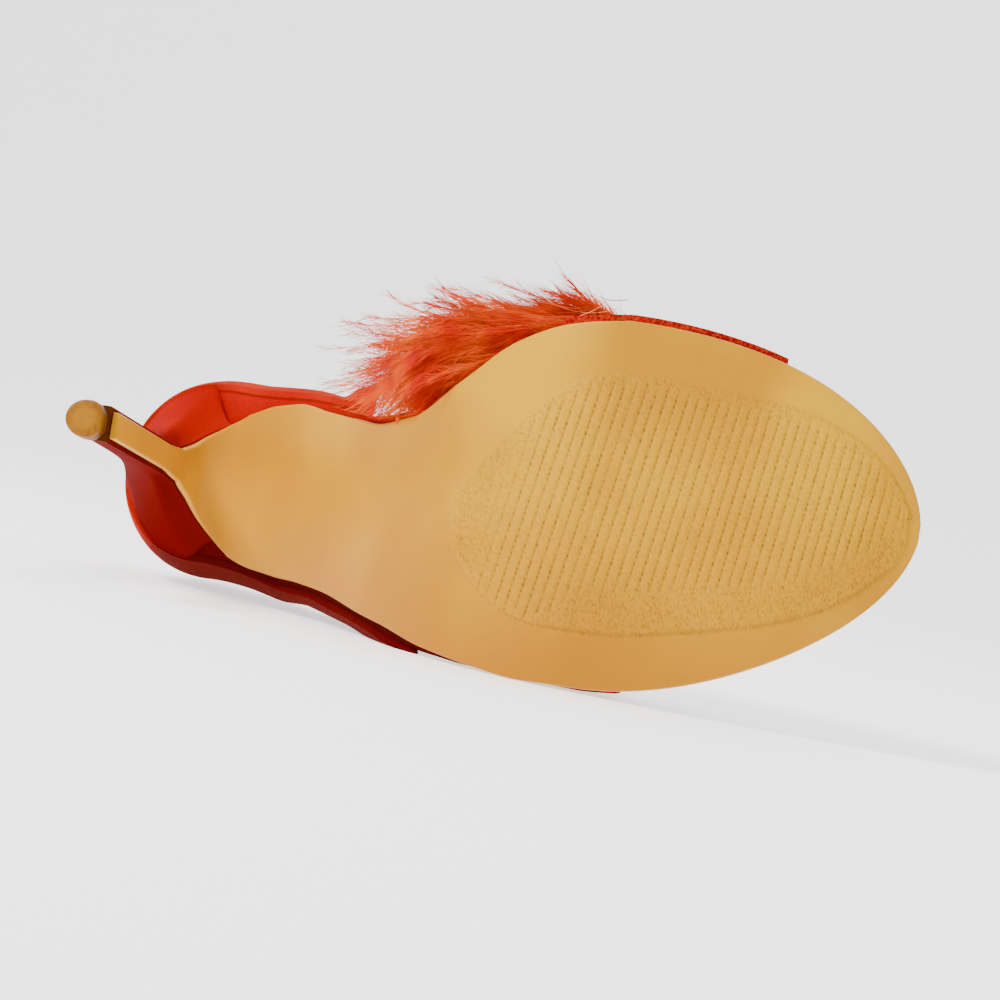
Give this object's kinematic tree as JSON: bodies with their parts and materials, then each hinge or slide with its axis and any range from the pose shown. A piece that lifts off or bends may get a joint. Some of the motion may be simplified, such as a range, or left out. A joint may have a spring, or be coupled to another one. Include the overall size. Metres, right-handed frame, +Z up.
{
  "type": "stiletto sandal",
  "caption": "Slim high-heeled sandal with a closed suede counter, a wide vamp strap under a feather plume, and a moulded sole; it lies on its outer side.",
  "frame": {"origin": "middle of the bounding box's base, on the surface that the shoe lies on", "axes": "+X from the heel to the toe, -Y out of the tread, +Z up, towards the inner side of the shoe, which lies on its outer side"},
  "size_m": [0.207, 0.1522, 0.0921],
  "materials": {
    "tan_sole": "satin moulded sole",
    "red_covered_board": "suede covering over board",
    "red_covered_heel": "suede covering over a moulded heel",
    "amber_top_piece": "satin",
    "red_suede": "brushed suede",
    "orange_red_feather": "soft down"
  },
  "bodies": {
    "root": {"outsole": "tan_sole", "insole": "red_covered_board", "heel": "red_covered_heel", "top_piece": "amber_top_piece", "quarter": "red_suede", "vamp_strap": "red_suede", "feather_trim": "orange_red_feather"}
  },
  "joints": []
}
